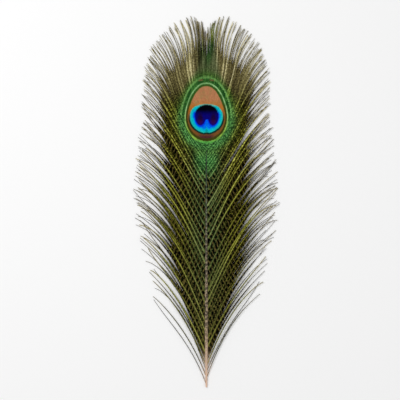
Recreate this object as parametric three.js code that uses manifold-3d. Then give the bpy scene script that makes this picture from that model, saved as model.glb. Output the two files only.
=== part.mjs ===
// A peacock's eye feather, cut from the train for display. It lies face up on the plane z = 0.
//
// Lengths are in millimetres and angles in degrees. A station is a distance along the shaft, measured
// from the cut end of the quill. The shaft runs along +Y, and +X is to its right. The origin is in the
// middle of the feather's length and width, on the plane that it lies on.
//
// The feather grew as one piece, so it is one solid: the shaft, the thin vane that carries the eye, and
// the barbs, gathered into tapering locks that curve out to the barbs' tips.

import * as THREE from 'three';
import { mergeVertices } from 'three/addons/utils/BufferGeometryUtils.js';
import Module from 'manifold-3d';

const wasm = await Module();
wasm.setup();

// ---- Driving dimensions ----

const FEATHER_LENGTH = 280;

// The shaft: its width, its thickness, and how far it arches clear of the plane between quill and eye.
const SHAFT_STOPS = [
  { station: 0, width: 1.2, thickness: 1.1 },
  { station: 8, width: 1.5, thickness: 1.4 },
  { station: 18, width: 1.9, thickness: 1.8 },
  { station: 45, width: 2.6, thickness: 2.4 },
  { station: 80, width: 2.2, thickness: 2.1 },
  { station: 120, width: 1.6, thickness: 1.6 },
  { station: 165, width: 1.1, thickness: 1.3 },
  { station: 205, width: 0.8, thickness: 1.2 },
  { station: 222, width: 0.6, thickness: 1.0 },
];
const SHAFT_RING_GAP = 9;
const SHAFT_SIDES = 8;
const ARCH_HEIGHT = 3;
const ARCH_SPAN = 165;

// The vane of the eye: half of its outline, from its point below the eye to its top.
const VANE_OUTLINE = [
  { reach: 0, station: 158 },
  { reach: 8, station: 172 },
  { reach: 16.5, station: 187 },
  { reach: 20.6, station: 204 },
  { reach: 20.4, station: 222 },
  { reach: 17, station: 240 },
  { reach: 9.5, station: 254 },
  { reach: 0, station: 260 },
];
const VANE_THICKNESS = 0.8;
const VANE_OUTLINE_POINTS = 44;

// How barbs leave the shaft and where they end. Angles are turned from the shaft's own direction towards
// the barb's side, and a hook is how far the tip then curls outwards. A barb that roots between two stops
// lies between them.
const BARB_STOPS = [
  { station: 3, rootAngle: 20, tipAngle: 50, tipReach: 40, tipStation: 63, hook: 0 },
  { station: 20, rootAngle: 21, tipAngle: 53, tipReach: 46, tipStation: 87, hook: 0 },
  { station: 40, rootAngle: 23, tipAngle: 58, tipReach: 53, tipStation: 115, hook: 0 },
  { station: 62, rootAngle: 24, tipAngle: 64, tipReach: 56, tipStation: 140, hook: 0 },
  { station: 100, rootAngle: 25, tipAngle: 60, tipReach: 54, tipStation: 172, hook: 1 },
  { station: 130, rootAngle: 28, tipAngle: 48, tipReach: 50, tipStation: 200, hook: 2 },
  { station: 165, rootAngle: 36, tipAngle: 30, tipReach: 48, tipStation: 240, hook: 5 },
  { station: 185, rootAngle: 46, tipAngle: 14, tipReach: 41, tipStation: 259, hook: 8 },
  { station: 200, rootAngle: 42, tipAngle: 4, tipReach: 27, tipStation: 273, hook: 7 },
  { station: 207, rootAngle: 28, tipAngle: 3, tipReach: 16, tipStation: FEATHER_LENGTH, hook: 5 },
  { station: 212, rootAngle: 14, tipAngle: 2, tipReach: 9, tipStation: 278, hook: 3 },
  { station: 215, rootAngle: 6, tipAngle: 0, tipReach: 4.5, tipStation: 274.5, hook: 1 },
  { station: 217, rootAngle: 1, tipAngle: 0, tipReach: 0.6, tipStation: 267, hook: 0 },
];
const ROOT_HANDLE = 0.36;
const TIP_HANDLE = 0.34;
const HOOK_FROM = 0.62;
const HOOK_DROP = 0.15;
const BARB_ROOT_HEIGHT_SHARE = 0.3;
const BARB_LIFT = 2;
const BARB_LIFT_IN_VANE = 0.4;

// The locks: how many on each side, how much closer they stand towards the eye, and their full size.
const LOCKS_PER_SIDE = 37;
const LOCK_CROWDING = 1.23;
const LOCK_WIDTH = 4.2;
const LOCK_THICKNESS = 1.1;

// A lock's run, in shares: its fullness at root and tip, where it has opened out, and how late it tapers.
const LOCK_ROOT_SHARE = 0.5;
const LOCK_TIP_SHARE = 0.12;
const LOCK_OPEN_FROM = 0.45;
const LOCK_TAPER_POWER = 3;
const LOCK_RINGS = 10;

const FEATHER_COLOUR = '#5f6134';

// ---- Rules of the feather's form ----

/** A column of a list of stops at a station, on a straight line between neighbouring stops. */
function valueAt(stops, station, column) {
  const after = Math.max(1, stops.findIndex((stop) => stop.station >= station));
  const from = stops[after - 1];
  const to = stops[after];
  const share = (station - from.station) / (to.station - from.station);
  return THREE.MathUtils.lerp(from[column], to[column], share);
}

/** The Y of a station. */
function alongShaft(station) {
  return station - FEATHER_LENGTH / 2;
}

/** How high the underside of the shaft arches above the plane. */
function archHeight(station) {
  if (station >= ARCH_SPAN) return 0;
  return ARCH_HEIGHT * Math.sin((Math.PI * station) / ARCH_SPAN) ** 2;
}

/** A barb's middle line: a cubic curve whose outer stretch is bent sideways by a hook. */
class BarbCurve extends THREE.Curve {
  constructor(root, leaving, arriving, unhookedTip, hook) {
    super();
    this.line = new THREE.CubicBezierCurve3(root, leaving, arriving, unhookedTip);
    this.hook = hook;
  }

  getPoint(along, target = new THREE.Vector3()) {
    const bent = Math.max(0, (along - HOOK_FROM) / (1 - HOOK_FROM)) ** 2;
    return target.copy(this.line.getPoint(along)).addScaledVector(this.hook, bent);
  }
}

/** The middle line of the barb that roots at a station, on the side -1 (left) or 1 (right). */
function barbCurve(station, side) {
  const barb = (column) => valueAt(BARB_STOPS, station, column);
  const heading = (angle) => new THREE.Vector3(
    side * Math.sin(THREE.MathUtils.degToRad(angle)),
    Math.cos(THREE.MathUtils.degToRad(angle)),
    0,
  );
  const aboveUnderside = BARB_ROOT_HEIGHT_SHARE * valueAt(SHAFT_STOPS, station, 'thickness');
  const rootHeight = archHeight(station) + aboveUnderside;
  const lift = station < ARCH_SPAN ? BARB_LIFT : BARB_LIFT_IN_VANE;
  const root = new THREE.Vector3(0, alongShaft(station), rootHeight);
  const hook = new THREE.Vector3(side, -HOOK_DROP, 0).multiplyScalar(barb('hook'));
  const tip = new THREE.Vector3(side * barb('tipReach'), alongShaft(barb('tipStation')), 0).sub(hook);
  const span = root.distanceTo(tip);
  const leaving = heading(barb('rootAngle')).multiplyScalar(ROOT_HANDLE * span).add(root);
  const arriving = heading(barb('tipAngle')).multiplyScalar(-TIP_HANDLE * span).add(tip);
  leaving.z += lift;
  arriving.z += lift / 2;
  return new BarbCurve(root, leaving, arriving, tip, hook);
}

// ---- Making closed bodies ----

/** A closed body through rings of points, each ring running anticlockwise seen from the far end. */
function loft(rings) {
  const sides = rings[0].length;
  const corner = (ring, side) => ring * sides + (side % sides);
  const faces = [];
  for (let ring = 0; ring + 1 < rings.length; ring += 1) {
    for (let side = 0; side < sides; side += 1) {
      faces.push(corner(ring, side), corner(ring, side + 1), corner(ring + 1, side + 1));
      faces.push(corner(ring, side), corner(ring + 1, side + 1), corner(ring + 1, side));
    }
  }
  const last = rings.length - 1;
  for (let side = 1; side + 1 < sides; side += 1) {
    faces.push(corner(0, 0), corner(0, side + 1), corner(0, side));
    faces.push(corner(last, 0), corner(last, side), corner(last, side + 1));
  }
  const geometry = new THREE.BufferGeometry().setFromPoints(rings.flat());
  geometry.setIndex(faces);
  return geometry;
}

/** A geometry as a solid that can be joined to others. */
function solidOf(geometry) {
  geometry.deleteAttribute('normal');
  geometry.deleteAttribute('uv');
  const merged = mergeVertices(geometry);
  return new wasm.Manifold(new wasm.Mesh({
    numProp: 3,
    vertProperties: new Float32Array(merged.attributes.position.array),
    triVerts: new Uint32Array(merged.index.array),
  }));
}

/** A solid as a geometry that can be drawn. */
function geometryOf(solid) {
  const mesh = solid.getMesh();
  const geometry = new THREE.BufferGeometry();
  geometry.setAttribute('position', new THREE.BufferAttribute(mesh.vertProperties, 3));
  geometry.setIndex(new THREE.BufferAttribute(mesh.triVerts, 1));
  geometry.computeVertexNormals();
  return geometry;
}

// ---- The feather's own forms ----

/** The quill and shaft, one tapering rod that ends inside the vane above the eye. */
function shaft() {
  const end = SHAFT_STOPS.at(-1).station;
  const gaps = Math.ceil(end / SHAFT_RING_GAP);
  const rings = [];
  for (let ring = 0; ring <= gaps; ring += 1) {
    const station = (end * ring) / gaps;
    const width = valueAt(SHAFT_STOPS, station, 'width');
    const thickness = valueAt(SHAFT_STOPS, station, 'thickness');
    const middle = archHeight(station) + thickness / 2;
    rings.push(Array.from({ length: SHAFT_SIDES }, (_, side) => {
      const turn = (2 * Math.PI * (side + 0.5)) / SHAFT_SIDES;
      const flat = Math.cos(Math.PI / SHAFT_SIDES);
      return new THREE.Vector3(
        -(width / 2 / flat) * Math.cos(turn),
        alongShaft(station),
        middle + (thickness / 2 / flat) * Math.sin(turn),
      );
    }));
  }
  return loft(rings);
}

/** The thin flat vane that the close barbs of the eye make. */
function eyeVane() {
  const rightSide = VANE_OUTLINE.map(({ reach, station }) => new THREE.Vector2(reach, alongShaft(station)));
  const leftSide = rightSide.slice(1, -1).reverse().map(({ x, y }) => new THREE.Vector2(-x, y));
  const outline = new THREE.Shape();
  outline.moveTo(rightSide[0].x, rightSide[0].y);
  outline.splineThru([...rightSide.slice(1), ...leftSide, rightSide[0]]);
  const points = outline.getSpacedPoints(VANE_OUTLINE_POINTS).slice(0, -1);
  return new THREE.ExtrudeGeometry(new THREE.Shape(points), { depth: VANE_THICKNESS, bevelEnabled: false });
}

/** One lock of barbs: a flat-bottomed strip with a ridge, narrow at its root and pointed at its tip. */
function lock(station, side) {
  const curve = barbCurve(station, side);
  const rings = [];
  for (let ring = 0; ring <= LOCK_RINGS; ring += 1) {
    const along = ring / LOCK_RINGS;
    const opened = THREE.MathUtils.smoothstep(along, 0, LOCK_OPEN_FROM);
    const opening = THREE.MathUtils.lerp(LOCK_ROOT_SHARE, 1, opened);
    const fullness = opening * (1 - (1 - LOCK_TIP_SHARE) * along ** LOCK_TAPER_POWER);
    const middle = curve.getPoint(along);
    const heading = curve.getTangent(along);
    const across = new THREE.Vector3(-heading.y, heading.x, 0).setLength((fullness * LOCK_WIDTH) / 2);
    const ridge = middle.clone().add(new THREE.Vector3(0, 0, fullness * LOCK_THICKNESS));
    rings.push([middle.clone().add(across), ridge, middle.clone().sub(across)]);
  }
  return loft(rings);
}

/** The stations where the locks root, further apart near the quill than in the eye. */
function lockStations() {
  const first = BARB_STOPS[0].station;
  const last = BARB_STOPS.at(-1).station;
  return Array.from({ length: LOCKS_PER_SIDE }, (_, index) => {
    const share = 1 - (1 - index / (LOCKS_PER_SIDE - 1)) ** LOCK_CROWDING;
    return THREE.MathUtils.lerp(first, last, share);
  });
}

function feather() {
  let solid = solidOf(shaft()).add(solidOf(eyeVane()));
  for (const station of lockStations()) {
    for (const side of [-1, 1]) {
      solid = solid.add(solidOf(lock(station, side)));
    }
  }
  const material = new THREE.MeshStandardMaterial({ color: FEATHER_COLOUR, roughness: 0.6, metalness: 0.1 });
  const mesh = new THREE.Mesh(geometryOf(solid), material);
  mesh.name = 'feather';
  return mesh;
}

const part = new THREE.Group();
part.add(feather());
export default part;
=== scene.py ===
"""A peacock's eye feather lying face up on a pale floor.

Lengths are in millimetres until they become places, which are in metres. A station is a distance along
the shaft from the cut end of the quill. The shaft runs along +Y, +X is to its right, and +Z comes out of
its face. A table of stops gives values at some stations, with straight lines between them.
"""

import math

import bpy
import numpy as np
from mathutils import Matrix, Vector


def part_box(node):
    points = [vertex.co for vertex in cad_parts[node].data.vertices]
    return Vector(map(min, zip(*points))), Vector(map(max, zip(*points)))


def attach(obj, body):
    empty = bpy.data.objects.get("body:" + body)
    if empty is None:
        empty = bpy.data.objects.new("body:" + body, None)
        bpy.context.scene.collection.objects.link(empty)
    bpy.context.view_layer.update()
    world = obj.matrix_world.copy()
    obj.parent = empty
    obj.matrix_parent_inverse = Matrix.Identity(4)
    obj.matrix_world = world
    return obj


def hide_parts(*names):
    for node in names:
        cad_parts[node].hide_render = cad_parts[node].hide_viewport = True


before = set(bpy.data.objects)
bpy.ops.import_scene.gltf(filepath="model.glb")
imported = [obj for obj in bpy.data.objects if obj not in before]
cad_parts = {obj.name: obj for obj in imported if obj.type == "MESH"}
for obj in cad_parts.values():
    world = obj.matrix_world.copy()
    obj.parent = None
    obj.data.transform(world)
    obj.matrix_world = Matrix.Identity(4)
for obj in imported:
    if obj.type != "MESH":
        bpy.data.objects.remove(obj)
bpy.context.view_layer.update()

MM = 0.001
SIDES = {"left": -1, "right": 1}

# ---- The shaft's sizes ----

CAD_LOW, CAD_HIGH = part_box("feather")
QUILL_Y = CAD_LOW.y
FEATHER_LENGTH = (CAD_HIGH.y - CAD_LOW.y) / MM

# Shaft: station, width, thickness.
SHAFT_STOPS = np.array([
    (0, 1.2, 1.1),
    (8, 1.5, 1.4),
    (18, 1.9, 1.8),
    (45, 2.6, 2.4),
    (80, 2.2, 2.1),
    (120, 1.6, 1.6),
    (165, 1.1, 1.3),
    (205, 0.8, 1.2),
    (222, 0.6, 1.0),
])
SHAFT_SIDES = 16
SHAFT_RING_STATIONS = np.concatenate([np.linspace(0, 8, 12), np.linspace(10, 222, 90)])
ARCH_HEIGHT = 3
ARCH_SPAN = 165

# ---- The barbs' sizes ----

# Barbs: root station, angle at the root, angle near the tip, the tip's distance from the shaft, its
# station, and how far the tip hooks outwards.
BARB_STOPS = np.array([
    (3, 20, 50, 40, 63, 0),
    (20, 21, 53, 46, 87, 0),
    (40, 23, 58, 53, 115, 0),
    (62, 24, 64, 56, 140, 0),
    (100, 25, 60, 54, 172, 1),
    (130, 28, 48, 50, 200, 2),
    (165, 36, 30, 48, 240, 5),
    (185, 46, 14, 41, 259, 8),
    (200, 42, 4, 27, 273, 7),
    (207, 28, 3, 16, 279.8, 5),
    (212, 14, 2, 9, 278, 3),
    (215, 6, 0, 4.5, 274.5, 1),
    (217, 1, 0, 0.6, 267, 0),
])

# Where the first barb of each side roots.
FIRST_STATION = {"left": 3.0, "right": 8.0}

# The handles of a barb's curve, as shares of the distance from its root to its tip.
ROOT_HANDLE = 0.36
TIP_HANDLE = 0.34

# The share of a barb's run at which the hook starts, and how far it drops for each millimetre outwards.
HOOK_FROM = 0.62
HOOK_DROP = 0.15

# How far the tips stay inside the solid's box.
BOX_MARGIN = 0.1

# Barbs root more and more closely: station, the gap to the next barb.
GAP_STOPS = np.array([
    (3, 6.0),
    (14, 3.8),
    (26, 2.2),
    (60, 1.5),
    (120, 1.3),
    (150, 1.0),
    (165, 0.8),
    (180, 0.7),
    (200, 0.6),
    (212, 0.4),
    (217, 0.15),
])

# Neighbouring barbs meet in clumps towards their tips: station, the length of shaft that one clump takes.
CLUMP_STOPS = np.array([
    (3, 4.6),
    (100, 3.8),
    (150, 3.8),
    (172, 3.4),
    (190, 2.5),
    (205, 1.9),
    (213, 1.5),
    (217, 1.0),
])

# Widths and lengths by root station: the stations, then the values there.
FREE_WIDTH_STOPS = ((4, 60, 165, 190, 212), (0.68, 0.68, 0.6, 0.54, 0.58))
MOST_WEB_WIDTH = 2.4
BARBULE_LENGTH_STOPS = ((3, 20, 45, 160, 185, 198), (0.5, 1.0, 2.1, 2.1, 1.4, 0.8))

# The share of a barb's run at which its web of close barbules ends.
WEB_END_STOPS = ((10, 60, 150, 165, 180, 200), (0.5, 0.76, 0.86, 0.97, 0.95, 0.77))

# Barbs are light and dark in bands: how many make a band, and the tones across one, from 0 to 1.
BARBS_PER_BAND_STOPS = ((10, 60, 150, 165, 180, 195), (2.2, 4.5, 5.4, 4.2, 3.0, 2.2))
BAND_TONES = ((0, 0.15, 0.24, 0.45, 0.6, 1), (0.86, 0.8, 0.42, 0.3, 0.09, 0.07))

# Each side's barbs are three pieces, parted at these root stations.
ZONES = ("lower", "middle", "eye")
ZONE_EDGES = (78, 160)

# On the map named OFBake, each barb has one row. No piece has more barbs than this.
ROWS = 130

# Seeds of the random draws, to which each side adds its own number.
BARB_SEED = 11
BARBULE_SEED = 7

# Brown strokes cross the barbs: how far they lean inwards, and how many there are to a millimetre.
STROKE_TURN = math.radians(28)
STROKES_PER_MM = 0.34

# ---- The eye's sizes ----

# Eggs about the eye's middle: half width, how much that narrows above, height above, depth below.
EYE_STATION = 202.6
VANE_EGG = (21.5, 0, 44, 42)
SECOND_RING_EGG = (19.3, 0.6, 30.8, 30.9)
GREEN_EGG = (16.9, 0.9, 27.4, 19.6)
EYE_EGG = (16.9, 0.9, 26.8, 19.6)
LIGHT_RING_EGG = (16.5, 0.8, 26.5, 19.5)
OLIVE_LINE_EGG = (15.6, 0.7, 25.5, 17.8)
BRONZE_EGG = (14.4, 1.4, 24.1, 15.9)

# The height above its middle over which an egg narrows.
EGG_NARROWS_OVER = 16

# On the second ring: a bright patch at its right shoulder, and a bronze dash on each side of its top.
PATCH_X = 16.9
PATCH_UP = 18
PATCH_EGG = (2.2, 0, 6, 6)
DASH_X = 4.2
DASH_UP = 28.6
DASH_SLOPE = 0.14

# The blue disc, and the dark spot low in it.
DISC_STATION = 203.4
DISC_RADIUS = 12.5
DISC_TOP = 9.6
SPOT_STATION = 192.6
SPOT_EGG = (1.2, 0, 1.5, 1.5)

# The dark heart in the disc: a dome over two lobes, with plum in both.
HEART_STATION = 203.6
HEART_MIDDLE_X = 0.2
HEART_RADIUS = 8.9
HEART_DEPTH = 2.4
LOBES_MIDDLE_X = 0.3
LOBE_X = 4.8
LOBE_EGG = (4.0, 0, 6.0, 6.9)
PLUM_STATION = 201.8
PLUM_X = 5.0
PLUM_EGG = (2.9, 0, 5.4, 5.0)

# Over the eye: a fan that narrows upwards, and a streak. Both lean to the right.
FAN_STATION = 229
FAN_LEAN = 0.14
FAN_NARROWING = 0.34
STREAK_STATION = 238
STREAK_LEAN = 0.17

# ---- The stage ----

# Floor: the length of its sides, and how far it lies under the feather, in metres.
FLOOR_SIZE = 6
FLOOR_DROP = 0.0004

# Light: the strength of the white sky, then each lamp's place and size in metres and its power in watts.
SKY_STRENGTH = 0.54
LIGHTS = {
    "key": ((-0.5, 0.35, 0.9), 0.5, 5),
    "fill": ((0.6, -0.3, 0.8), 0.8, 1.5),
}

# Camera: the lens and film width in millimetres, the width of floor that it sees in metres, and the middle
# of that, as X in metres and a station.
LENS = 100
FILM_WIDTH = 36
SEEN_WIDTH = 0.301
SEEN_MIDDLE_X = -0.0048
SEEN_MIDDLE_STATION = 140.8


def station_y(station):
    """The place along Y of a station, in metres."""
    return QUILL_Y + station * MM


def column(stops, station, index):
    """One column of a table of stops, at one station or many."""
    return np.interp(station, stops[:, 0], stops[:, index])


def arch(station):
    """How high the underside of the shaft arches, in millimetres."""
    inside = np.clip(np.asarray(station, float) / ARCH_SPAN, 0, 1)
    return ARCH_HEIGHT * np.sin(math.pi * inside) ** 2


# ---- Node trees ----


class Wire:
    """A socket that gives a value. Arithmetic on it adds Math nodes, or Vector Math nodes for a vector."""

    def __init__(self, graph, socket):
        self.graph = graph
        self.socket = socket

    def is_vector(self):
        return self.socket.type == "VECTOR"

    def math(self, operation, *others):
        """This value and the others through one Math node."""
        values = [self, *others]
        return self.graph.node("ShaderNodeMath", {"operation": operation}, dict(enumerate(values)))

    def vector_math(self, operation, other=None, **named):
        """This vector and another through one Vector Math node."""
        inputs = {0: self, **named}
        if other is not None:
            inputs[1] = other
        return self.graph.node("ShaderNodeVectorMath", {"operation": operation}, inputs)

    def combine(self, operation, other, swapped=False):
        """Two values through one Math node, or two vectors through one Vector Math node."""
        if self.is_vector():
            return self.vector_math(operation, other)
        values = [other, self] if swapped else [self, other]
        return self.graph.node("ShaderNodeMath", {"operation": operation}, dict(enumerate(values)))

    def __add__(self, other):
        return self.combine("ADD", other)

    __radd__ = __add__

    def __sub__(self, other):
        return self.combine("SUBTRACT", other)

    def __rsub__(self, other):
        return self.combine("SUBTRACT", other, swapped=True)

    def __mul__(self, other):
        if self.is_vector():
            return self.vector_math("SCALE", Scale=other)
        return self.combine("MULTIPLY", other)

    __rmul__ = __mul__

    def __truediv__(self, other):
        return self.combine("DIVIDE", other)

    def __neg__(self):
        return self * -1

    def root(self):
        return self.math("SQRT")

    def size(self):
        return self.math("ABSOLUTE")

    def least(self, other):
        return self.math("MINIMUM", other)

    def most(self, other):
        return self.math("MAXIMUM", other)

    def power(self, exponent):
        return self.math("POWER", exponent)

    def rise(self, low, high):
        """0 below low and 1 above high, with a smooth step between."""
        inputs = {"Value": self, "From Min": low, "From Max": high}
        return self.graph.node("ShaderNodeMapRange", {"interpolation_type": "SMOOTHSTEP"}, inputs)

    def fall(self, low, high):
        """1 below low and 0 above high, with a smooth step between."""
        return 1 - self.rise(low, high)


class Graph:
    """A node tree, with one method that adds any node to it."""

    def __init__(self, tree):
        self.tree = tree

    def node(self, kind, settings=None, inputs=None, out=0):
        """Adds a node, sets it, feeds its inputs by name, identifier or place, and gives one output."""
        made = self.tree.nodes.new(kind)
        for name, value in (settings or {}).items():
            if name == "stops":
                set_ramp(made.color_ramp, value)
            else:
                setattr(made, name, value)
        for key, value in (inputs or {}).items():
            socket = made.inputs[key] if isinstance(key, int) else input_named(made, key)
            if isinstance(value, Wire):
                self.tree.links.new(value.socket, socket)
            else:
                socket.default_value = value
        if not made.outputs:
            return made
        return Wire(self, made.outputs[out])

    def mix(self, factor, first, second):
        """A colour between two colours."""
        inputs = {"Factor_Float": factor, "A_Color": first, "B_Color": second}
        return self.node("ShaderNodeMix", {"data_type": "RGBA"}, inputs, out=2)


def input_named(node, key):
    """A node's input with this identifier, or else with this name."""
    for socket in node.inputs:
        if socket.identifier == key:
            return socket
    return node.inputs[key]


def set_ramp(colour_ramp, stops):
    """Gives a colour ramp its stops, each a place and a colour."""
    while len(colour_ramp.elements) < len(stops):
        colour_ramp.elements.new(1.0)
    for element, (place, colour) in zip(colour_ramp.elements, stops):
        element.position = place
        element.color = colour


# ---- Colours ----


def srgb(red, green, blue):
    """A linear colour with full alpha from 0 to 255 screen values."""
    def linear(value):
        share = value / 255
        return share / 12.92 if share <= 0.04045 else ((share + 0.055) / 1.055) ** 2.4
    return (linear(red), linear(green), linear(blue), 1.0)


def egg(x, up, half_width, narrowing, top, bottom):
    """1 on the edge of an egg, less inside it and more outside."""
    height = up.most(0) / top + up.least(0) / -bottom
    half = half_width - up.rise(0, EGG_NARROWS_OVER) * narrowing if narrowing else half_width
    across = x / half
    return (across * across + height * height).root()


def heart_radius(x, station):
    """1 on the edge of the dark heart of the eye: a dome with two round lobes under it."""
    power = 2.2
    across = ((x - HEART_MIDDLE_X) / HEART_RADIUS).size()
    up = station - HEART_STATION
    height = up.most(0) / HEART_RADIUS + up.least(0) / -HEART_DEPTH
    dome = (across.power(power) + height.power(power)).power(1 / power)
    lobes = egg((x - LOBES_MIDDLE_X).size() - LOBE_X, up, *LOBE_EGG)
    return dome.least(lobes)


def disc_radius(x, station):
    """1 on the edge of the blue disc: round below, with flattened shoulders above."""
    power = 2.4
    up = station - DISC_STATION
    below = up.least(0) / -DISC_RADIUS
    across = (x / DISC_RADIUS).size()
    lower = (across * across + below * below).root()
    above = up.most(0) / DISC_TOP
    upper = (across.power(power) + above.power(power)).power(1 / power)
    is_above = up.rise(-0.01, 0.01)
    dimple = x.size().fall(0.3, 1.6) * 0.03 * (1 - is_above)
    return lower * (1 - is_above) + upper * is_above + dimple


def surround_colour(graph, x, station, tone, ground):
    """The green that surrounds the eye's light ring, laid over the olive barbs."""
    up = station - EYE_STATION
    dark = graph.mix(up.rise(-2, 14), srgb(14, 54, 24), srgb(22, 60, 16))
    light = graph.mix(up.rise(-2, 14), srgb(108, 176, 92), srgb(104, 148, 64))
    green = graph.mix(tone, dark, light)
    reach = egg(x, up, *GREEN_EGG)
    beside = reach.fall(1.2, 1.7) * up.fall(12, 24)
    colour = graph.mix(beside * 0.6, ground, graph.mix(tone, srgb(20, 42, 12), srgb(128, 158, 70)))
    colour = graph.mix(reach.fall(1.1, 1.42), colour, green)

    # The faint second ring over the eye, with a bright patch at its right shoulder and two bronze dashes.
    second = egg(x, up, *SECOND_RING_EGG)
    inside = graph.mix(tone, srgb(18, 66, 26), srgb(60, 116, 48))
    colour = graph.mix(second.fall(0.94, 0.98) * up.rise(-10, 6) * 0.85, colour, inside)
    band = second.rise(0.94, 0.97) * second.fall(0.985, 1.04) * up.rise(-6, 8) * (1 - up.rise(20, 29) * 0.4)
    colour = graph.mix(band * (0.75 + tone * 0.5).least(0.98), colour, srgb(110, 160, 86))
    patch = egg(x - PATCH_X, up - PATCH_UP, *PATCH_EGG).fall(0.2, 1.3)
    colour = graph.mix(patch * (tone * 0.8).least(0.8), colour, srgb(136, 178, 62))
    dash_run = (x.size() - DASH_X).size().fall(0.6, 2.6)
    dash = dash_run * (up - DASH_UP + x.size() * DASH_SLOPE).size().fall(0.2, 0.9)
    return graph.mix(dash * 0.6, colour, srgb(126, 92, 58))


def eye_colour(graph, x, station, tone, mottle, ground):
    """The eye's rings, from the outside inwards, laid over the colour of the barbs round it."""
    up = station - EYE_STATION
    colour = surround_colour(graph, x, station, tone, ground)

    # The light ring, mint above and yellow green below, with a dark olive line inside it.
    ring = graph.mix(up.rise(-12, 10), srgb(138, 180, 70), srgb(152, 198, 134))
    ring = graph.mix(up.fall(-19, -15.5), ring, srgb(88, 176, 78))
    ring = graph.mix(mottle.rise(0.42, 0.62) * 0.55, ring, srgb(66, 124, 54))
    outer = egg(x, up, *LIGHT_RING_EGG)
    colour = graph.mix(outer.fall(0.98, 1.01), colour, ring)
    inner = egg(x, up, *OLIVE_LINE_EGG)
    inside_ring = graph.mix(up.rise(4, 14), srgb(62, 62, 18), srgb(50, 86, 30))
    colour = graph.mix(inner.fall(0.98, 1.01), colour, inside_ring)

    # The bronze egg: salmon above, orange beside the disc, brown and plum below.
    bronze = graph.mix(up.rise(7, 15), srgb(178, 108, 38), srgb(176, 120, 82))
    bronze = graph.mix(up.fall(-4, 9), bronze, srgb(124, 80, 36))
    bronze = graph.mix(up.fall(-15, -11) * x.size().fall(3, 10), bronze, srgb(80, 42, 44))
    bronze = graph.mix(mottle.rise(0.45, 0.7) * up.rise(4, 12) * 0.5, bronze, srgb(148, 128, 78))
    copper = egg(x, up, *BRONZE_EGG)
    colour = graph.mix(copper.fall(0.965, 1.0), colour, bronze)

    # The disc: a dark rim below, turquoise with a dark spot low in the middle, then blue round the heart.
    disc = disc_radius(x, station)
    colour = graph.mix(disc.fall(1.06, 1.12) * up.fall(-4, 7), colour, srgb(4, 46, 40))
    turquoise = graph.mix(disc.rise(0.84, 0.99), srgb(0, 184, 204), srgb(30, 184, 168))
    turquoise = graph.mix(up.rise(8, 10), turquoise, srgb(110, 180, 160))
    spot = egg(x - HEART_MIDDLE_X, station - SPOT_STATION, *SPOT_EGG).fall(0.3, 1.2)
    turquoise = graph.mix(spot * 0.7, turquoise, srgb(0, 120, 120))
    colour = graph.mix(disc.fall(0.965, 1.01), colour, turquoise)
    heart = heart_radius(x, station)
    blue = graph.mix(heart.rise(1.0, 1.35), srgb(0, 50, 226), srgb(0, 108, 236))
    wedge = (x - HEART_MIDDLE_X).size().fall(0.8, 4.5) * up.fall(-4, 0)
    near_heart = (heart - wedge * 0.4).fall(1.1, 1.45)
    colour = graph.mix(near_heart * disc.fall(0.72, 0.94) * up.fall(3, 7), colour, blue)

    # The heart: black under its top edge, deep blue, and plum in both lobes.
    deep = graph.mix(station.rise(203.5, 209), srgb(8, 4, 110), srgb(0, 0, 8))
    lobe = egg((x - LOBES_MIDDLE_X).size() - PLUM_X, station - PLUM_STATION, *PLUM_EGG)
    plum = graph.mix(up.fall(-5, 0), srgb(24, 4, 40), srgb(64, 12, 50))
    deep = graph.mix(lobe.fall(0.3, 1.15) * 0.85, deep, plum)
    return graph.mix(heart.fall(0.92, 1.07), colour, deep)


def ramp(graph, factor, stops):
    """A colour from a ramp of places and screen colours."""
    coloured = [(place, srgb(*colour)) for place, colour in stops]
    return graph.node("ShaderNodeValToRGB", {"stops": coloured}, {"Fac": factor})


def barb_colour(graph, x, station, tone, along):
    """The barbs away from the eye, from the dark between them at tone 0 to the brightest at tone 1."""
    off_shaft = x.size()
    olive = ramp(graph, tone, (
        (0.0, (9, 7, 0)),
        (0.2, (26, 23, 2)),
        (0.5, (82, 80, 18)),
        (0.85, (148, 150, 58)),
        (1.0, (178, 180, 90)),
    ))
    green = ramp(graph, tone, (
        (0.0, (6, 13, 4)),
        (0.25, (22, 41, 20)),
        (0.6, (66, 88, 52)),
        (1.0, (116, 134, 88)),
    ))
    colour = graph.mix(off_shaft.fall(3, 22) * station.rise(20, 110) * 0.8, olive, green)
    ends = graph.mix(tone, srgb(66, 56, 30), srgb(164, 150, 100))
    colour = graph.mix(along.rise(0.6, 0.95) * 0.9, colour, ends)
    crown = ramp(graph, tone, (
        (0.0, (60, 52, 28)),
        (0.3, (118, 109, 68)),
        (0.6, (166, 156, 108)),
        (1.0, (222, 212, 170)),
    ))
    colour = graph.mix(station.rise(208, 240) * off_shaft.rise(3, 10) * 0.9, colour, crown)
    drab = graph.mix(tone, srgb(8, 8, 2), srgb(116, 114, 66))
    colour = graph.mix(station.fall(50, 120) * 0.4, colour, drab)
    beside_quill = off_shaft.fall(1.5, 7) * station.fall(10, 34)
    colour = graph.mix(beside_quill * 0.6, colour, srgb(188, 152, 118))
    under_eye = off_shaft.fall(3, 12) * station.rise(150, 174) * station.fall(198, 206)
    emerald = graph.mix(tone, srgb(34, 84, 40), srgb(120, 194, 102))
    colour = graph.mix(under_eye * 0.9, colour, emerald)
    return over_eye_colour(graph, x, station, tone, colour)


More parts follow.
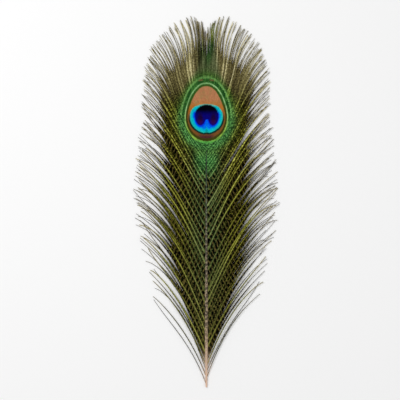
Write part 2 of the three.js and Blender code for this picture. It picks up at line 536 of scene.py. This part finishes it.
def over_eye_colour(graph, x, station, tone, ground):
    """The dull green fan over the eye and the dark green streak that runs up out of it to the tip."""
    fan_side = (x - (station - FAN_STATION) * FAN_LEAN).size() + (station - FAN_STATION) * FAN_NARROWING
    fan = fan_side.fall(9, 14) * station.rise(226, 233) * station.fall(250, 266)
    dull_green = graph.mix(tone, srgb(68, 76, 42), srgb(116, 124, 88))
    colour = graph.mix(fan * 0.92, ground, dull_green)
    streak_side = (x - (station - STREAK_STATION) * STREAK_LEAN).size()
    streak = streak_side.fall(0.6, 4.4) * station.rise(232, 250) * station.fall(268, 278)
    dark_green = graph.mix(tone, srgb(8, 36, 12), srgb(66, 106, 48))
    streak_green = graph.mix(station.rise(256, 268), dark_green, srgb(112, 122, 44))
    return graph.mix(streak * 0.9, colour, streak_green)


def carried(graph, name):
    """A value that a strip carries under a name."""
    return graph.node("ShaderNodeAttribute", {"attribute_name": name}, out=2)


def shaded_tone(graph, station, strip_tone, in_eye, in_vane):
    """A strip's tone, with painted shade on the web of barbules beside its barb and where strips meet in
    the vane.
    """
    off_middle = carried(graph, "off_middle")
    web = carried(graph, "web")
    # Painted shade: the web beside each barb darkens towards the strip's edges, less so towards the crown.
    web_painted_shade = (off_middle + web - 1).rise(-0.1, 0.12) * (0.68 - station.rise(165, 228) * 0.32)
    # Painted shade along the seams where neighbouring strips meet in the close vane, outside the eye.
    seam_painted_shade = off_middle.rise(0.2, 0.55) * in_vane * (1 - in_eye) * 0.75
    beside_eye = station.rise(165, 190) * station.fall(198, 216) * (1 - in_eye)
    evened_tone = strip_tone + (0.5 - strip_tone) * beside_eye * 0.3
    return evened_tone * (1 - web_painted_shade) * (1 - seam_painted_shade)


def with_strokes(graph, place, x, station, tone, in_vane, ground):
    """The barbs with what shows between the bright ones: brown strokes that cross them, and deep shadow."""
    across_stroke = station * math.sin(STROKE_TURN) + x.size() * math.cos(STROKE_TURN)
    stroke_place = graph.node("ShaderNodeMapping", inputs={"Vector": place, "Scale": (300, 150, 300)})
    bend = graph.node("ShaderNodeTexNoise", inputs={"Vector": stroke_place, "Scale": 1.0, "Detail": 1.0})
    strokes = ((across_stroke * STROKES_PER_MM + bend * 1.2) * (2 * math.pi)).math("SINE")
    between_bright = tone.fall(0.12, 0.36) * (1 - in_vane) * station.fall(180, 215)
    brown = strokes.rise(0.35, 0.85) * between_bright * 0.55
    shadow = strokes.fall(0.0, 0.6) * between_bright * station.rise(0, 60)
    return colour_times(graph, graph.mix(brown, ground, srgb(110, 95, 50)), 1 - shadow)


def feather_colour(graph):
    """The colour of a barb or barbule by its place, its tone and its share of the barb's run."""
    place = graph.node("ShaderNodeTexCoord", out=3)
    split = graph.node("ShaderNodeSeparateXYZ", inputs={0: place})
    x = split / MM
    y = Wire(graph, split.socket.node.outputs["Y"])
    station = (y - QUILL_Y) / MM
    in_eye = egg(x, station - EYE_STATION, *EYE_EGG).fall(0.98, 1.06)
    in_vane = egg(x, station - EYE_STATION, *VANE_EGG).fall(0.8, 1.1)
    strip_tone = carried(graph, "tone")
    tone = shaded_tone(graph, station, strip_tone, in_eye, in_vane)

    # Grain breaks up every colour, least in the eye, in the crown and on the bright barbs below the eye.
    grain = graph.node("ShaderNodeTexNoise", inputs={"Vector": place, "Scale": 900.0, "Detail": 1.0})
    smooth_barb = strip_tone.rise(0.25, 0.7) * station.fall(150, 176)
    calm = (1 - in_eye * 0.75) * (1 - station.rise(205, 225) * 0.5) * (1 - smooth_barb * 0.6)
    speckle = (grain.rise(0.3, 0.7) - 0.5) * calm
    grained = (tone + speckle * 0.35).most(0)

    ground = barb_colour(graph, x, station, grained, carried(graph, "along"))
    ground = with_strokes(graph, place, x, station, tone, in_vane, ground)
    mottle = graph.node("ShaderNodeTexNoise", inputs={"Vector": place, "Scale": 260.0, "Detail": 1.0})
    colour = eye_colour(graph, x + speckle * 0.5, station + (tone - 0.5) * 0.6, grained, mottle, ground)
    return colour_times(graph, colour, 1 + speckle * 0.9 + in_eye * (tone - 0.5) * 0.22)


def colour_times(graph, colour, factor):
    """A colour made lighter or darker."""
    return graph.node("ShaderNodeVectorMath", {"operation": "SCALE"}, {0: colour, "Scale": factor})


def new_material(name):
    """A node material without any nodes, and its graph."""
    material = bpy.data.materials.new(name)
    material.use_nodes = True
    material.node_tree.nodes.clear()
    return material, Graph(material.node_tree)


def finish_material(graph, inputs):
    """Gives a material its Principled surface."""
    surface = graph.node("ShaderNodeBsdfPrincipled", inputs=inputs)
    graph.node("ShaderNodeOutputMaterial", inputs={"Surface": surface})


def barb_material(name, shine, roughness):
    """Silky keratin in the feather's colours."""
    material, graph = new_material(name)
    finish_material(graph, {
        "Base Color": feather_colour(graph),
        "Roughness": roughness,
        "Specular IOR Level": shine,
    })
    return material


def shaft_material():
    """Horn: pale tan at the quill, then speckled grey, then dark green towards the eye."""
    material, graph = new_material("shaft_horn")
    place = graph.node("ShaderNodeTexCoord", out=3)
    y = graph.node("ShaderNodeSeparateXYZ", inputs={0: place}, out=1)
    share = (y - QUILL_Y) / (FEATHER_LENGTH * MM)
    tint = graph.node("ShaderNodeValToRGB", {"stops": [
        (0.0, srgb(226, 190, 166)),
        (0.07, srgb(206, 176, 150)),
        (0.16, srgb(168, 146, 116)),
        (0.36, srgb(138, 124, 100)),
        (0.48, srgb(104, 108, 84)),
        (0.58, srgb(60, 82, 56)),
        (0.70, srgb(16, 50, 28)),
    ]}, {"Fac": share})
    streak_place = graph.node("ShaderNodeMapping", inputs={"Vector": place, "Scale": (2600, 160, 2600)})
    streaks = graph.node("ShaderNodeTexNoise", inputs={"Vector": streak_place, "Scale": 1.0, "Detail": 3.0})
    spots = graph.node("ShaderNodeTexNoise", inputs={"Vector": place, "Scale": 620.0, "Detail": 2.0})
    dark = 1 - spots.rise(0.43, 0.52) * y.rise(QUILL_Y + 8 * MM, QUILL_Y + 60 * MM) * 0.8
    colour = colour_times(graph, tint, (0.75 + streaks * 0.5) * dark)
    finish_material(graph, {"Base Color": colour, "Roughness": 0.45, "Specular IOR Level": 0.3})
    return material


# ---- The barbs: where each one runs ----


def barb_stations(first):
    """The stations where barbs root on one side, closer and closer towards the eye."""
    stations = [first]
    last = BARB_STOPS[-1, 0]
    while stations[-1] < last:
        stations.append(stations[-1] + float(column(GAP_STOPS, stations[-1], 1)))
    return np.array(stations[:-1])


def gathered(stations, random):
    """Stations drawn towards the middles of clumps, where neighbouring tips meet, and each one's clump."""
    edges = [stations[0]]
    while edges[-1] < stations[-1]:
        gap = float(column(CLUMP_STOPS, edges[-1], 1))
        edges.append(edges[-1] + gap * random.uniform(0.4, 1.6))
    edges = np.array(edges)
    clump = np.clip(np.searchsorted(edges, stations, side="right") - 1, 0, len(edges) - 2)
    middles = (edges[clump] + edges[clump + 1]) / 2
    strength = random.uniform(0.8, 0.98, len(edges))[clump] * np.interp(stations, (213, 216), (1, 0.3))
    return stations + (middles - stations) * strength, clump


def tones(random, stations, clump):
    """A lightness from 0 to 1 for each barb, in bands: a bright barb, then middling ones, then dark ones.

    Towards the top of the feather the barbs of a clump come a little closer to one lightness."""
    barbs_per_band = np.interp(stations, *BARBS_PER_BAND_STOPS)
    phase = np.cumsum(random.uniform(0.5, 1.5, len(stations)) / barbs_per_band)
    own = np.interp(phase % 1, *BAND_TONES) * random.uniform(0.7, 1.1, len(stations))
    shared = random.uniform(0.0, 0.9, clump.max() + 1)[clump]
    likeness = np.interp(stations, (165, 190, 213, 217), (0, 0.15, 0.2, 0))
    return np.clip(own * (1 - likeness) + shared * likeness, 0, 1)


def heading(angles, side):
    """Directions in the plane, turned by angles from the shaft's direction towards one side."""
    turn = np.radians(angles)
    return np.stack([side * np.sin(turn), np.cos(turn), np.zeros_like(turn)], axis=1)


def bezier(handles, along):
    """Points on cubic curves at one share of their length."""
    root, leaving, arriving, tip = handles
    back = 1 - along
    return (root * back ** 3 + leaving * 3 * back ** 2 * along
            + arriving * 3 * back * along ** 2 + tip * along ** 3)


def vane_share(handles):
    """The share of each barb's run at which it leaves the close vane of the eye."""
    half_width, _, top, bottom = VANE_EGG
    left = np.zeros(len(handles[0]))
    for share in np.linspace(0, 1, 101):
        point = bezier(handles, share) / MM
        up = point[:, 1] - station_y(EYE_STATION) / MM
        reach = np.where(up > 0, top, bottom)
        inside = (point[:, 0] / half_width) ** 2 + (up / reach) ** 2 < 1
        left = np.where(inside, share, left)
    return left


def neighbour_gap(handles, share):
    """How far apart neighbouring barbs run at a share of their length, in metres."""
    here = bezier(handles, share)
    ahead = bezier(handles, np.minimum(share + 0.01, 1.0)) - here
    ahead /= np.linalg.norm(ahead, axis=1)[:, None]
    step = np.gradient(here, axis=0)
    return np.abs(ahead[:, 0] * step[:, 1] - ahead[:, 1] * step[:, 0])


def tip_places(stations, side, heights):
    """Where the tips of the barbs that root at some stations lie, in millimetres."""
    return np.stack([
        side * column(BARB_STOPS, stations, 3),
        station_y(column(BARB_STOPS, stations, 4)) / MM,
        heights,
    ], axis=1)


def barb_roots(stations, side):
    """Where barbs leave the shaft, in millimetres: at its sides lower down, and on top of it in the eye."""
    shaft_width = column(SHAFT_STOPS, stations, 1)
    shaft_thickness = column(SHAFT_STOPS, stations, 2)
    on_top = np.interp(stations, (60, 165, 182), (0, 0.35, 1))
    return np.stack([
        side * shaft_width * 0.35 * (1 - on_top),
        station_y(stations) / MM,
        arch(stations) + shaft_thickness * (0.5 + on_top * 0.55),
    ], axis=1)


def barb_tips(random, side, stations, drawn_stations, tip_angles, tip_height):
    """Where barbs end, in millimetres: drawn to their clumps, a little short, scattered and in the box."""
    tip = tip_places(drawn_stations, side, tip_height)
    most_short = np.interp(stations, (190, 212), (9, 2))
    shortening = np.minimum(random.gamma(1.6, 1.6, len(stations)), most_short)
    tip -= heading(tip_angles, side) * shortening[:, None]
    scatter = np.interp(stations, (60, 160, 205, 214), (2.2, 1.0, 0.45, 1.1))
    tip[:, 0] -= side * np.abs(random.normal(0, 1, len(stations))) * scatter
    tip[:, 1] += random.normal(0, 1, len(stations)) * scatter
    low = np.array(CAD_LOW) / MM
    high = np.array(CAD_HIGH) / MM
    return np.clip(tip, low + BOX_MARGIN, high - BOX_MARGIN)


def barb_widths(stations, handles, tone):
    """Each barb's widths by name, in metres: at its root, at the vane's edge, webbed and free."""
    width_by_tone = np.interp(stations, (165, 195), (0.8, 0.4))
    free_width = np.interp(stations, *FREE_WIDTH_STOPS) * MM
    free_width *= 1 + (tone - 0.5) * width_by_tone
    middle_gap = np.stack([neighbour_gap(handles, share) for share in (0.15, 0.3, 0.45, 0.6)])
    overlap = np.interp(stations, (150, 178), (1.9, 2.0))
    full_width = np.clip(np.max(middle_gap, axis=0) * overlap, free_width, MOST_WEB_WIDTH * MM)
    root_full_width = np.maximum(neighbour_gap(handles, 0.02) * 1.5, free_width)
    closing = np.interp(stations, (20, 90), (0, 1))
    return {
        "root_width": free_width + (root_full_width - free_width) * closing,
        "edge_width": free_width + (full_width - free_width) * closing,
        "web_width": full_width * np.interp(stations, (8, 34), (0, 1)),
        "free_width": free_width,
    }


def barbs_of(side_name):
    """All barbs of one side: their handles, widths, tones and the rest that draws them, by name."""
    side = SIDES[side_name]
    random = np.random.default_rng(BARB_SEED + side)
    stations = barb_stations(FIRST_STATION[side_name])
    count = len(stations)
    in_vane = stations > ZONE_EDGES[1]
    drawn_stations, clump = gathered(stations, random)
    tone = tones(random, stations, clump)
    root_wander = np.where(in_vane, 0.3, 1.6)
    tip_wander = np.where(in_vane, 3, 6)
    root_angles = column(BARB_STOPS, stations, 1) + random.normal(0, 1, count) * root_wander
    tip_angles = column(BARB_STOPS, stations, 2) + random.normal(0, 1, count) * tip_wander
    tip_height = random.uniform(0.25, 0.9, count)

    # With the hook that bends its outer stretch, the curve runs to the tip that the stops give. The shift
    # carries its free part on to the tip that the barb really has.
    root = barb_roots(stations, side)
    hook = column(BARB_STOPS, stations, 5)[:, None] * np.array([side, -HOOK_DROP, 0])
    plain_tip = tip_places(stations, side, tip_height) - hook
    tip = barb_tips(random, side, stations, drawn_stations, tip_angles, tip_height)
    shift = tip - plain_tip - hook
    span = np.linalg.norm(plain_tip - root, axis=1)[:, None]
    leaving = root + heading(root_angles, side) * ROOT_HANDLE * span
    arriving = plain_tip - heading(tip_angles, side) * TIP_HANDLE * span
    flatness = np.interp(stations, (150, 178), (0, 1))
    lift = (0.3 + tone * 1.9) * (1 - flatness) + (0.1 + tone * 0.2) * flatness
    leaving[:, 2] += lift
    arriving[:, 2] += lift * 0.6

    handles = [part * MM for part in (root, leaving, arriving, plain_tip)]
    return {
        "station": stations,
        "root": handles[0],
        "leaving": handles[1],
        "arriving": handles[2],
        "tip": handles[3],
        "hook": hook * MM,
        "shift": shift * MM,
        "grip": np.interp(stations, (160, 184), (7.0, 1.4)),
        "vane_end": vane_share(handles) * np.interp(stations, (160, 184), (0, 1)),
        "web_end": np.interp(stations, *WEB_END_STOPS),
        "barbule_length": np.interp(stations, *BARBULE_LENGTH_STOPS) * MM,
        "tone": tone,
        **barb_widths(stations, handles, tone),
    }


def roots_object(name, barbs, chosen):
    """Points at barb roots that carry everything a node tree needs to draw the barbs."""
    mesh = bpy.data.meshes.new(name)
    mesh.from_pydata([tuple(point) for point in barbs["root"][chosen]], [], [])
    columns = {key: values[chosen] for key, values in barbs.items()}
    columns["row"] = np.arange(chosen.sum()) / chosen.sum()
    for key, values in columns.items():
        if values.ndim == 2:
            attribute = mesh.attributes.new(key, "FLOAT_VECTOR", "POINT")
            attribute.data.foreach_set("vector", values.astype(np.float32).ravel())
        else:
            attribute = mesh.attributes.new(key, "FLOAT", "POINT")
            attribute.data.foreach_set("value", values.astype(np.float32))
    obj = bpy.data.objects.new(name, mesh)
    bpy.context.scene.collection.objects.link(obj)
    return obj


# ---- The barbs: node trees that draw them ----

GEOMETRY = "NodeSocketGeometry"

# What the trees read, or keep on the way, and the materials don't.
SPARE_VALUES = (
    "root", "leaving", "arriving", "tip", "hook", "shift", "grip", "vane_end", "root_width", "edge_width",
    "web_width", "web_end", "free_width", "barbule_length", "station", "row", "across", "reach", "edge",
)


def new_tree(name, sizes):
    """A Geometry Nodes tree with named number inputs, its graph, its geometry input and those numbers."""
    tree = bpy.data.node_groups.new(name, "GeometryNodeTree")
    tree.interface.new_socket("Roots", in_out="INPUT", socket_type=GEOMETRY)
    for label, default in sizes.items():
        kind = "NodeSocketInt" if isinstance(default, int) else "NodeSocketFloat"
        tree.interface.new_socket(label, in_out="INPUT", socket_type=kind).default_value = default
    tree.interface.new_socket("Mesh", in_out="OUTPUT", socket_type=GEOMETRY)
    graph = Graph(tree)
    entry = tree.nodes.new("NodeGroupInput")
    wires = {socket.name: Wire(graph, socket) for socket in entry.outputs if socket.name}
    return tree, graph, wires


def named(graph, name, kind="FLOAT"):
    """A named attribute of whatever geometry reads it."""
    return graph.node("GeometryNodeInputNamedAttribute", {"data_type": kind}, {"Name": name})


def stored(graph, geometry, name, value, kind="FLOAT", domain="POINT"):
    """A geometry with a value kept on it under a name."""
    return graph.node("GeometryNodeStoreNamedAttribute", {"data_type": kind, "domain": domain},
                  {"Geometry": geometry, "Name": name, "Value": value})


def between(graph, low, high, seed):
    """A random number for each point."""
    return graph.node("FunctionNodeRandomValue", {"data_type": "FLOAT"}, {
        "Min_001": low, "Max_001": high, "Seed": seed}, out=1)


def barb_curves(graph, roots, segments):
    """Curves along the barbs, with each point's share of the run kept as along."""
    line = graph.node("GeometryNodeCurvePrimitiveLine")
    line = graph.node("GeometryNodeResampleCurve", inputs={"Curve": line, "Count": segments + 1})
    planted = graph.node("GeometryNodeInstanceOnPoints", inputs={"Points": roots, "Instance": line})
    curves = graph.node("GeometryNodeRealizeInstances", inputs={"Geometry": planted})
    curves = stored(graph, curves, "along", graph.node("GeometryNodeSplineParameter"))
    along = named(graph, "along")
    back = 1 - along
    hooked = ((along - HOOK_FROM) / (1 - HOOK_FROM)).most(0)
    vane_end = named(graph, "vane_end")
    free_share = ((along - vane_end) / (1 - vane_end)).most(0)
    place = (named(graph, "root", "FLOAT_VECTOR") * (back * back * back)
             + named(graph, "leaving", "FLOAT_VECTOR") * (back * back * along * 3)
             + named(graph, "arriving", "FLOAT_VECTOR") * (back * along * along * 3)
             + named(graph, "tip", "FLOAT_VECTOR") * (along * along * along)
             + named(graph, "hook", "FLOAT_VECTOR") * (hooked * hooked)
             + named(graph, "shift", "FLOAT_VECTOR") * free_share.power(named(graph, "grip")))
    return graph.node("GeometryNodeSetPosition", inputs={"Geometry": curves, "Position": place})


def finish_tree(graph, mesh, material):
    """Ends a tree: instances made real, the material set, and only what the material reads kept."""
    for spare in SPARE_VALUES:
        mesh = graph.node("GeometryNodeRemoveAttribute", inputs={"Geometry": mesh, "Name": spare})
    mesh = graph.node("GeometryNodeRealizeInstances", inputs={"Geometry": mesh})
    mesh = graph.node("GeometryNodeSetMaterial", inputs={"Geometry": mesh, "Material": material})
    graph.node("NodeGroupOutput", inputs={0: mesh})


def laid_out(graph, mesh, across, down):
    """A mesh with a map on which every barb has a row of its own."""
    place = graph.node("ShaderNodeCombineXYZ", inputs={"X": across, "Y": down})
    return stored(graph, mesh, "OFBake", place, "FLOAT2", "CORNER")


def rib_tree(material):
    """Barbs: each a flat roof-shaped strip, wide in the close vane and narrow where it runs free."""
    tree, graph, wires = new_tree("barb_ribs", {
        "Segments": 44, "Ridge": 0.16, "Keel": 0.1, "Tip share": 0.6})
    curves = barb_curves(graph, wires["Roots"], wires["Segments"])
    curves = graph.node("GeometryNodeSetCurveNormal", {"mode": "Z_UP"}, {"Curve": curves})
    along = named(graph, "along")
    vane_end = named(graph, "vane_end")
    free = named(graph, "free_width")
    spread = (along / vane_end.most(0.001)).least(1)
    close = named(graph, "root_width") * (1 - spread) + named(graph, "edge_width") * spread
    past = (along - vane_end).rise(-0.02, 0.1)
    # Past the vane the strip keeps a wide web that closes the gaps between barbs. It stands partly for the
    # barbules' own dark web and partly for painted shade between the barbs.
    webbed = named(graph, "web_width") * (named(graph, "web_end") - along).rise(0.0, 0.28)
    loose = free.most(webbed)
    width = close * (1 - past) + loose * past
    curves = stored(graph, curves, "web", past * (1 - free / loose))
    taper = 1 - along.rise(0.6, 1.0) * (1 - wires["Tip share"])
    ridge = graph.node("ShaderNodeCombineXYZ", inputs={"Y": wires["Ridge"]})
    keel = graph.node("ShaderNodeCombineXYZ", inputs={"Y": -wires["Keel"]})
    profile = graph.node("GeometryNodeCurvePrimitiveQuadrilateral", {"mode": "POINTS"}, {
        "Point 1": (-0.5, 0, 0), "Point 2": keel, "Point 3": (0.5, 0, 0), "Point 4": ridge})
    place = graph.node("GeometryNodeInputPosition")
    sideways = graph.node("ShaderNodeSeparateXYZ", inputs={0: place})
    profile = stored(graph, profile, "across", sideways + 0.5)
    profile = stored(graph, profile, "off_middle", sideways.size() * 2)
    mesh = graph.node("GeometryNodeCurveToMesh", inputs={
        "Curve": curves, "Profile Curve": profile, "Scale": width * taper, "Fill Caps": True})
    mesh = graph.node("GeometryNodeSetShadeSmooth", inputs={"Geometry": mesh, "Shade Smooth": False})
    mesh = laid_out(graph, mesh, along, named(graph, "row") + (named(graph, "across") * 0.8 + 0.1) / ROWS)
    finish_tree(graph, mesh, material)
    return tree


def barbule_tree(material):
    """Barbules: fine spikes on both edges of a barb where it runs free, leaning towards its tip."""
    tree, graph, wires = new_tree("barbules", {
        "Gap": 0.00038, "Width": 0.0003, "Lean": 40.0, "Rise": 0.05, "Seed": 0, "Segments": 44})
    curves = barb_curves(graph, wires["Roots"], wires["Segments"])
    curves = graph.node("GeometryNodeResampleCurve", {"mode": "LENGTH"}, {
        "Curve": curves, "Length": wires["Gap"]})
    along = named(graph, "along")
    tangent = graph.node("GeometryNodeInputTangent")
    up = graph.node("ShaderNodeCombineXYZ", inputs={"Z": 1.0})
    across = up.vector_math("CROSS_PRODUCT", tangent).vector_math("NORMALIZE")
    spike = barbule_spike(graph)
    free = (along - named(graph, "vane_end")).rise(-0.03, 0.02)
    fullness = free * along.rise(0.0, 0.08) * (1 - along.rise(0.48, 0.95) * 0.85)
    rows = []
    for order, side in enumerate((-1, 1)):
        seed = wires["Seed"] + order
        jitter = between(graph, -1.0, 1.0, seed)
        stretch = between(graph, 0.65, 1.2, seed + 20)
        glint = between(graph, 0.0, 1.0, seed + 40).power(6)
        lean = (wires["Lean"] - along.rise(0.5, 1.0) * 14 + jitter * 10) * math.radians(1)
        sideways = across * (lean.math("SINE") * side)
        direction = tangent * lean.math("COSINE") + sideways + up * (wires["Rise"] + jitter * 0.12)
        turn = graph.node("FunctionNodeAxesToRotation", {"primary_axis": "X", "secondary_axis": "Z"}, {
            "Primary Axis": direction, "Secondary Axis": up})
        size = graph.node("ShaderNodeCombineXYZ", inputs={
            "X": named(graph, "barbule_length") * fullness * stretch,
            "Y": wires["Width"] * (1 + glint * 0.5) * (0.4 + fullness * 0.6),
            "Z": wires["Width"] * 0.6})
        points = stored(graph, curves, "edge", 0.5 + 0.04 * side)
        points = stored(graph, points, "tone", named(graph, "tone") * 0.25 + glint * 0.55)
        rows.append(graph.node("GeometryNodeInstanceOnPoints", inputs={
            "Points": points, "Selection": fullness.math("GREATER_THAN", 0.08), "Instance": spike,
            "Rotation": turn, "Scale": size}))
    joined = graph.tree.nodes.new("GeometryNodeJoinGeometry")
    for row in rows:
        graph.tree.links.new(row.socket, joined.inputs[0])
    mesh = graph.node("GeometryNodeRealizeInstances", inputs={"Geometry": Wire(graph, joined.outputs[0])})
    edge = named(graph, "edge")
    down = edge + (edge - 0.5) * 10 * named(graph, "across")
    run = along * 0.99 + named(graph, "reach") * 0.004
    mesh = laid_out(graph, mesh, run, named(graph, "row") + down / ROWS)
    finish_tree(graph, mesh, material)
    return tree


def barbule_spike(graph):
    """A three-sided spike one unit long along +X, from its root at the origin."""
    cone = graph.node("GeometryNodeMeshCone", inputs={
        "Vertices": 3, "Radius Top": 0.0, "Radius Bottom": 0.5, "Depth": 1.0})
    spike = graph.node("GeometryNodeTransform", inputs={
        "Geometry": cone, "Rotation": (0, math.radians(90), 0)})
    place = graph.node("ShaderNodeSeparateXYZ", inputs={0: graph.node("GeometryNodeInputPosition")})
    spike = stored(graph, spike, "reach", place)
    return stored(graph, spike, "across", Wire(graph, place.socket.node.outputs["Y"]) + 0.5)


def drawn(name, roots, tree, material, **inputs):
    """A plain mesh object made by a node tree, with some of its inputs set, from barb roots."""
    modifier = roots.modifiers.new("barbs", "NODES")
    modifier.node_group = tree
    for label, value in inputs.items():
        modifier[tree.interface.items_tree[label].identifier] = value
    bpy.context.view_layer.update()
    evaluated = roots.evaluated_get(bpy.context.evaluated_depsgraph_get())
    mesh = bpy.data.meshes.new_from_object(evaluated)
    mesh.name = name
    mesh.materials.clear()
    mesh.materials.append(material)
    mesh.polygons.foreach_set("material_index", np.zeros(len(mesh.polygons), np.int32))
    roots.modifiers.remove(modifier)
    obj = bpy.data.objects.new(name, mesh)
    bpy.context.scene.collection.objects.link(obj)
    return obj


# ---- The shaft ----


def shaft_ring(station):
    """The points round the shaft at a station, in metres."""
    width = column(SHAFT_STOPS, station, 1)
    thickness = column(SHAFT_STOPS, station, 2)
    middle = arch(station) + thickness / 2
    points = []
    for side in range(SHAFT_SIDES):
        turn = 2 * math.pi * side / SHAFT_SIDES
        x = width / 2 * math.cos(turn)
        z = middle + thickness / 2 * math.sin(turn)
        points.append((x * MM, station_y(station), z * MM))
    return points


def shaft_piece(material):
    """The quill and shaft: a tapering rod, cut off square at the quill."""
    points = []
    for station in SHAFT_RING_STATIONS:
        points.extend(shaft_ring(station))
    last = len(points) - SHAFT_SIDES
    faces = []
    for start in range(0, last, SHAFT_SIDES):
        for side in range(SHAFT_SIDES):
            here = start + side
            beside = start + (side + 1) % SHAFT_SIDES
            faces.append((here, here + SHAFT_SIDES, beside + SHAFT_SIDES, beside))
    faces.append(tuple(range(SHAFT_SIDES)))
    faces.append(tuple(last + side for side in reversed(range(SHAFT_SIDES))))
    mesh = bpy.data.meshes.new("shaft")
    mesh.from_pydata(points, [], faces)
    mesh.materials.append(material)
    mesh.shade_smooth()
    obj = bpy.data.objects.new("shaft", mesh)
    bpy.context.scene.collection.objects.link(obj)
    return obj


# ---- Putting the feather together ----


def dress():
    """Makes every piece of the feather, hangs each under the root body and hides the feather solid."""
    barb_silk = barb_material("barb_silk", shine=0.01, roughness=0.5)
    barbule_silk = barb_material("barbule_silk", shine=0.01, roughness=0.6)
    ribs = rib_tree(barb_silk)
    barbules = barbule_tree(barbule_silk)
    pieces = [shaft_piece(shaft_material())]
    for side_name, side in SIDES.items():
        barbs = barbs_of(side_name)
        zone_numbers = np.digitize(barbs["station"], ZONE_EDGES)
        for number, zone in enumerate(ZONES):
            roots = roots_object(f"{zone}_roots_{side_name}", barbs, zone_numbers == number)
            rib_name = f"{zone}_barbs_{side_name}"
            barbule_name = f"{zone}_barbules_{side_name}"
            pieces.append(drawn(rib_name, roots, ribs, barb_silk))
            pieces.append(drawn(barbule_name, roots, barbules, barbule_silk, Seed=BARBULE_SEED + side))
            bpy.data.objects.remove(roots)
    for piece in pieces:
        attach(piece, "root")
        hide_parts("feather")


def floor():
    """A plain pale floor under the feather."""
    bpy.ops.mesh.primitive_plane_add(size=FLOOR_SIZE, location=(0, 0, CAD_LOW.z - FLOOR_DROP))
    plane = bpy.context.object
    plane.name = "floor"
    material, graph = new_material("floor_white")
    finish_material(graph, {"Base Color": (0.97, 0.97, 0.97, 1), "Roughness": 0.9})
    plane.data.materials.append(material)


def area_light(name, place, size, power):
    """A square soft light that faces the middle of the feather."""
    data = bpy.data.lights.new(name, "AREA")
    data.size = size
    data.energy = power
    light = bpy.data.objects.new(name, data)
    light.location = place
    light.rotation_euler = (-Vector(place)).to_track_quat("-Z", "Y").to_euler()
    bpy.context.scene.collection.objects.link(light)


def studio():
    """Soft light from above, a little stronger from the upper left."""
    world = bpy.data.worlds.new("studio")
    world.use_nodes = True
    sky = world.node_tree.nodes["Background"]
    sky.inputs["Color"].default_value = (1, 1, 1, 1)
    sky.inputs["Strength"].default_value = SKY_STRENGTH
    bpy.context.scene.world = world
    for name, (place, size, power) in LIGHTS.items():
        area_light(name, place, size, power)
    bpy.context.scene.view_settings.view_transform = "Standard"


def camera():
    """A long lens straight above the feather."""
    data = bpy.data.cameras.new("camera")
    data.sensor_width = FILM_WIDTH
    data.lens = LENS
    distance = SEEN_WIDTH * LENS / FILM_WIDTH
    obj = bpy.data.objects.new("camera", data)
    obj.location = (SEEN_MIDDLE_X, station_y(SEEN_MIDDLE_STATION), CAD_LOW.z + distance)
    bpy.context.scene.collection.objects.link(obj)
    bpy.context.scene.camera = obj


camera()
dress()
floor()
studio()
